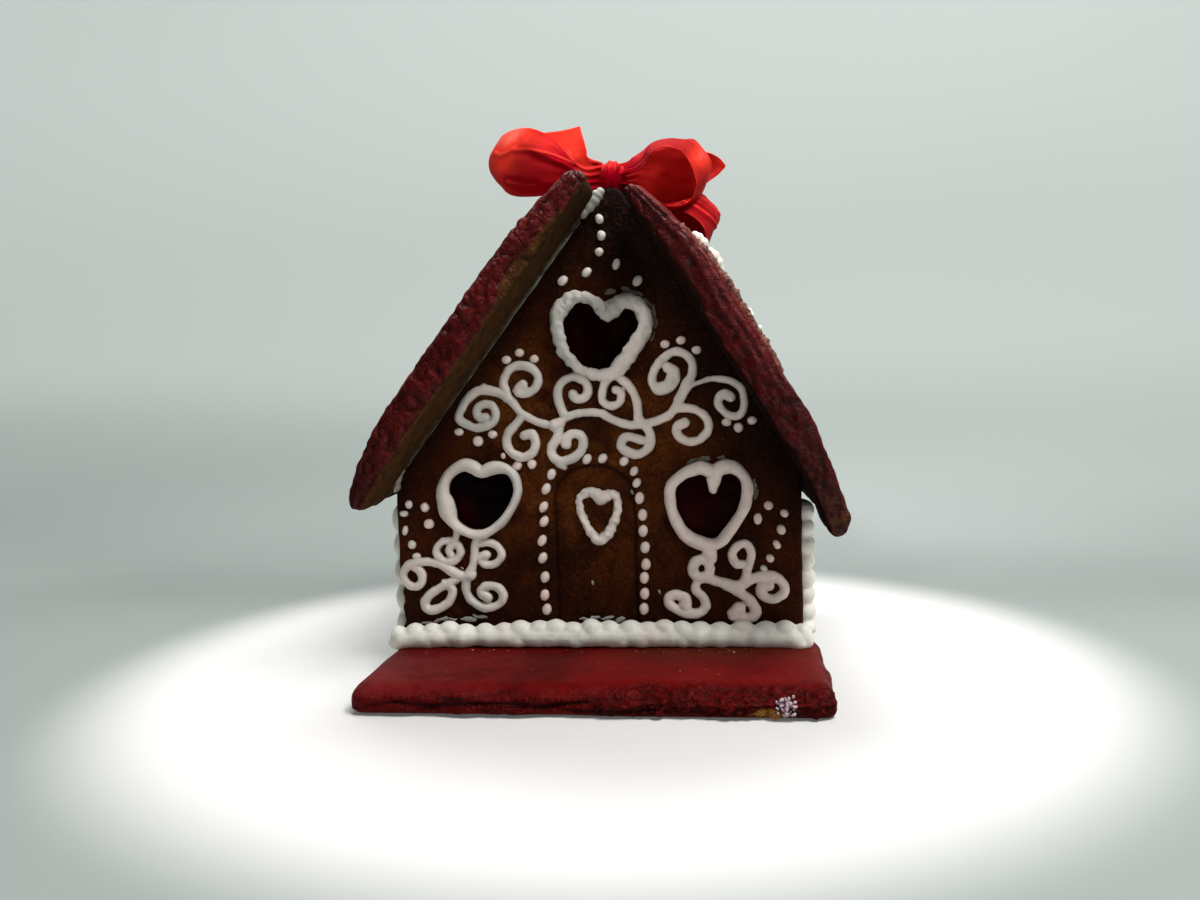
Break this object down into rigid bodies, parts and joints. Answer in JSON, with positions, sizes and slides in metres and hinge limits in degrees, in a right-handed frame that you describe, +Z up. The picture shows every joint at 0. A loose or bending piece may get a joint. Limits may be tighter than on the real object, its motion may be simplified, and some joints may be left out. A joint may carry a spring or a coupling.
{
  "type": "gingerbread house",
  "caption": "Gabled gingerbread house on a red gingerbread board, with piped white icing, heart windows, a scored door, a thick red roof and a satin ribbon bow on the ridge.",
  "frame": {"origin": "middle of the board's underside, on the surface the house stands on", "axes": "+Z up, -Y the decorated front with the door, +X to the right of someone facing that front"},
  "size_m": [0.1918, 0.18, 0.2238],
  "materials": {
    "brown_gingerbread": "baked brown biscuit, matt",
    "red_gingerbread": "baked biscuit coloured dark red, matt",
    "royal_icing": "hard off-white icing, smooth and slightly glossy",
    "candy_glass": "very dark red boiled sugar, glossy",
    "satin_ribbon": "bright red satin"
  },
  "bodies": {
    "root": {"base_board": "red_gingerbread", "roof_left": "red_gingerbread", "roof_right": "red_gingerbread", "front_wall": "brown_gingerbread", "back_wall": "brown_gingerbread", "left_wall": "brown_gingerbread", "right_wall": "brown_gingerbread", "pane_top": "candy_glass", "pane_left": "candy_glass", "pane_right": "candy_glass", "icing_base_front": "royal_icing", "icing_base_back": "royal_icing", "icing_base_left": "royal_icing", "icing_base_right": "royal_icing", "icing_corner_front_left": "royal_icing", "icing_corner_front_right": "royal_icing", "icing_corner_back_left": "royal_icing", "icing_corner_back_right": "royal_icing", "icing_ridge": "royal_icing", "frame_top": "royal_icing", "frame_left": "royal_icing", "frame_right": "royal_icing", "frame_door": "royal_icing", "bow_knot": "satin_ribbon", "bow_loop_left": "satin_ribbon", "bow_loop_right": "satin_ribbon", "bow_tail_left": "satin_ribbon", "bow_tail_right": "satin_ribbon"}
  },
  "joints": []
}
